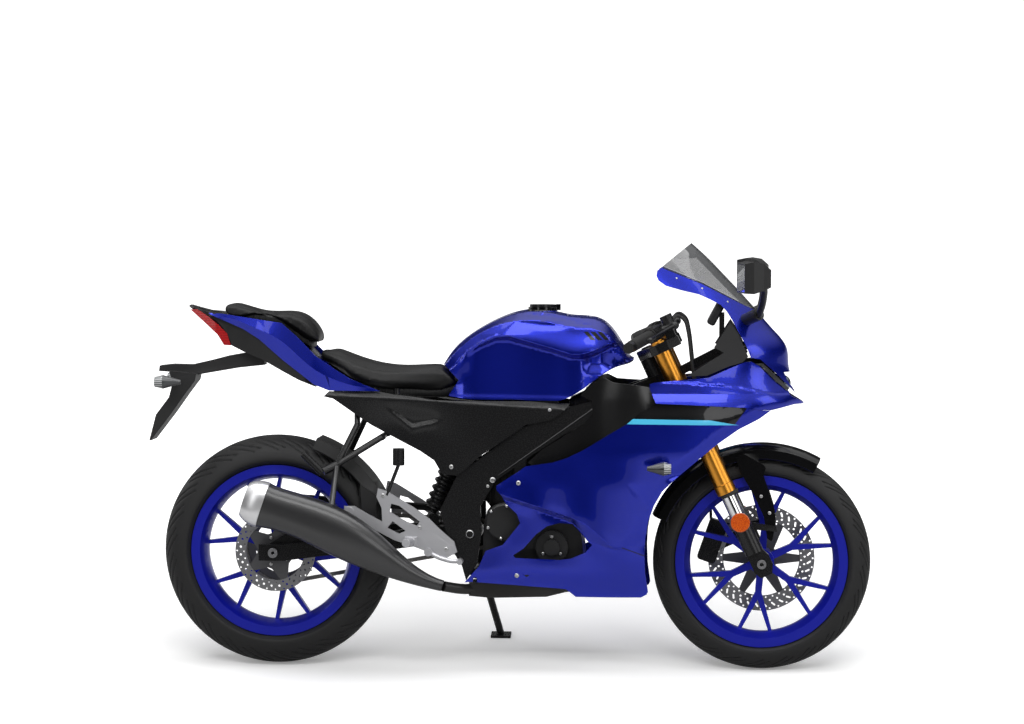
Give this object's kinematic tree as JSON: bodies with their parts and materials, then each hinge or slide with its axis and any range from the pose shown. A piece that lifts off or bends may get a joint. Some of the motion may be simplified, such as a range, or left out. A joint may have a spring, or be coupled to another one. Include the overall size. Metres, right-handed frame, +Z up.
{
  "type": "sport motorcycle",
  "caption": "Light fully faired sport motorcycle leaning on its side stand, blue bodywork and wheels, black seats and frame, gold fork.",
  "frame": {"origin": "centre of the bounding box, on the floor", "axes": "+X forward, +Y to the machine's left, +Z up; the machine leans 10 degrees to its left"},
  "size_m": [1.9724, 0.7554, 1.1654],
  "materials": {
    "alloy": "satin",
    "black_metal": "satin",
    "black_plastic": "matte",
    "blue_paint": "gloss",
    "blue_panel": "gloss",
    "blue_wheel": "satin",
    "chrome": "polished",
    "dark_grey": "satin",
    "gold": "satin",
    "grey_panel": "gloss",
    "orange_lens": "gloss",
    "red_lens": "gloss",
    "rubber": "matte",
    "seat_cover": "matte",
    "smoke": "gloss",
    "steel": "brushed",
    "tyre": "matte"
  },
  "bodies": {
    "chassis": {"cockpit_panels": "black_plastic", "cowl_stay": "black_metal", "dials": "black_plastic", "drive_chain": "steel", "engine": "dark_grey", "exhaust_pipe": "steel", "foot_pegs": "alloy", "fuel_tank": "blue_paint", "guards": "black_plastic", "headlamps": "black_plastic", "indicators": "black_plastic", "inner_panels": "grey_panel", "main_frame": "black_metal", "mid_cowl": "blue_panel", "mirrors": "black_plastic", "pedals": "alloy", "pillion_hangers": "alloy", "pillion_seat": "seat_cover", "plate_bracket": "black_plastic", "radiator": "black_metal", "rear_axle": "steel", "rear_brake": "black_metal", "rear_shock": "black_metal", "rearset_brackets": "alloy", "rider_seat": "seat_cover", "side_covers": "black_plastic", "side_fairings": "blue_panel", "silencer": "dark_grey", "silencer_cap": "alloy", "subframe": "black_metal", "swingarm": "black_metal", "tail_core": "black_plastic", "tail_lamp": "red_lens", "tail_panels": "blue_panel", "upper_cowl": "blue_panel", "windscreen": "smoke"},
    "steering": {"fork_outer_tubes": "gold", "fork_inner_tubes": "chrome", "fork_castings": "black_metal", "front_axle": "steel", "yokes": "black_metal", "handlebars": "black_metal", "grips": "rubber", "levers": "black_metal", "front_fender": "black_plastic", "front_caliper": "black_metal", "hoses": "rubber", "reflectors": "orange_lens"},
    "front_wheel": {"front_rim": "blue_wheel", "front_tyre": "tyre", "front_disc": "steel"},
    "rear_wheel": {"rear_rim": "blue_wheel", "rear_tyre": "tyre", "rear_disc": "steel", "rear_sprocket": "steel"},
    "stand": {"side_stand": "black_metal"},
    "lid": {"fuel_lid": "black_metal"}
  },
  "joints": [
    {"name": "steering_turn", "type": "hinge", "parent": "chassis", "child": "steering", "pos_m": [0.41667, -0.0513, 0.76783], "axis": [-0.4226, 0.1574, 0.8925], "range_deg": [-30, 30]},
    {"name": "front_wheel_spin", "type": "hinge", "parent": "steering", "child": "front_wheel", "pos_m": [0.69025, -0.1351, 0.29257], "axis": [0, 0.9848, -0.1736], "continuous": true},
    {"name": "rear_wheel_spin", "type": "hinge", "parent": "chassis", "child": "rear_wheel", "pos_m": [-0.63475, -0.13197, 0.31029], "axis": [0, 0.9848, -0.1736], "continuous": true},
    {"name": "side_stand_fold", "type": "hinge", "parent": "chassis", "child": "stand", "pos_m": [-0.08425, -0.02271, 0.21588], "axis": [0.073, 0.8887, 0.4526], "range_deg": [0, 95]},
    {"name": "fuel_lid_hinge", "type": "hinge", "parent": "chassis", "child": "lid", "pos_m": [0.13175, -0.01511, 0.97307], "axis": [0, 0.9848, -0.1736], "range_deg": [0, 95]}
  ]
}
